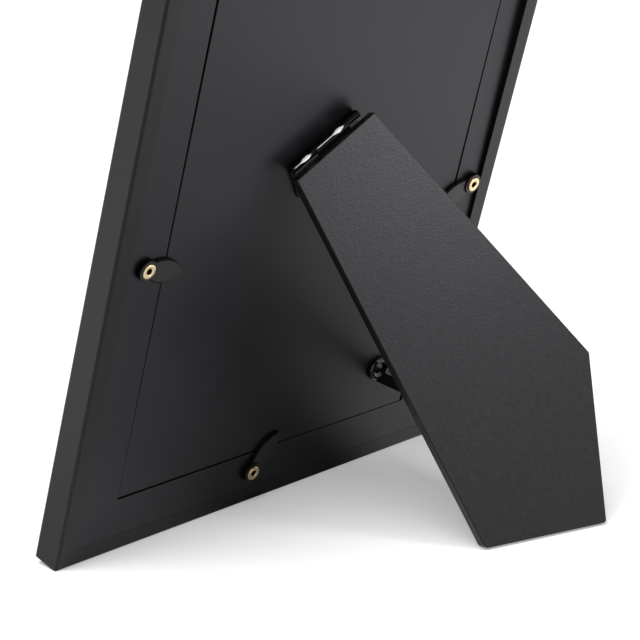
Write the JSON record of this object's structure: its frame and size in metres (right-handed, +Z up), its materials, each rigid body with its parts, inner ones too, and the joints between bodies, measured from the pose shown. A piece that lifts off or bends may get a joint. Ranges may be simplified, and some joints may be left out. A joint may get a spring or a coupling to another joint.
{
  "type": "easel back photo frame",
  "caption": "Black photo frame with mitred rails, a glazed picture opening, a lift-out back held by turn buttons, and a hinged easel leg on a ribbon stay.",
  "frame": {"origin": "on the table, under the middle of the standing frame's bounding box", "axes": "+Z up, +Y out of the back of the frame towards the leg's foot, +X to the left as seen from behind"},
  "size_m": [0.2, 0.1267, 0.2436],
  "materials": {
    "rail_black": "satin black stain over fine grain",
    "board_black": "matte black hardboard",
    "leg_black": "matte black hardboard with a faint streaked grain",
    "nail_steel": "bare bright steel",
    "clear_glass": "clear float glass",
    "print_card": "blank off-white card",
    "hinge_black": "gloss black lacquer",
    "ribbon_black": "black woven ribbon",
    "cap_black": "gloss black enamel",
    "button_black": "satin black moulded plastic",
    "rivet_brass": "plain bright brass"
  },
  "bodies": {
    "frame": {"rail_top": "rail_black", "rail_bottom": "rail_black", "rail_left": "rail_black", "rail_right": "rail_black", "corner_nails": "nail_steel", "glass": "clear_glass", "photo_print": "print_card", "back_ring": "board_black", "door_board": "board_black", "hinge_door_leaf": "hinge_black", "hinge_pin": "hinge_black", "hinge_door_rivets": "hinge_black", "stay_cap": "cap_black", "stay_ribbon": "ribbon_black", "button_rivet_left": "rivet_brass", "button_rivet_right": "rivet_brass", "button_rivet_bottom": "rivet_brass", "button_rivet_top": "rivet_brass"},
    "leg": {"easel_leg": "leg_black", "hinge_leg_leaf": "hinge_black", "hinge_leg_tacks": "hinge_black", "stay_tack": "cap_black"},
    "button_left": {"turn_button_left": "button_black"},
    "button_right": {"turn_button_right": "button_black"},
    "button_bottom": {"turn_button_bottom": "button_black"},
    "button_top": {"turn_button_top": "button_black"}
  },
  "joints": [
    {"name": "leg_fold", "type": "hinge", "parent": "frame", "child": "leg", "pos_m": [0.0052, -0.00702, 0.1531], "axis": [-0.8572, 0.1384, 0.4961], "range_deg": [0, 33.7], "deforming": ["stay_ribbon"]},
    {"name": "button_left_turn", "type": "hinge", "parent": "frame", "child": "button_left", "pos_m": [0.0837, -0.0183, 0.12011], "axis": [0, 0.9632, -0.2687], "range_deg": [-84.5, 115.5]},
    {"name": "button_right_turn", "type": "hinge", "parent": "frame", "child": "button_right", "pos_m": [-0.0881, -0.01916, 0.11702], "axis": [0, 0.9632, -0.2687], "range_deg": [-105, 65]},
    {"name": "button_bottom_turn", "type": "hinge", "parent": "frame", "child": "button_bottom", "pos_m": [0.0048, -0.04775, 0.01453], "axis": [0, 0.9632, -0.2687], "range_deg": [-68, 142]},
    {"name": "button_top_turn", "type": "hinge", "parent": "frame", "child": "button_top", "pos_m": [-0.0015, 0.01137, 0.22646], "axis": [0, 0.9632, -0.2687], "range_deg": [-111, 99]}
  ]
}
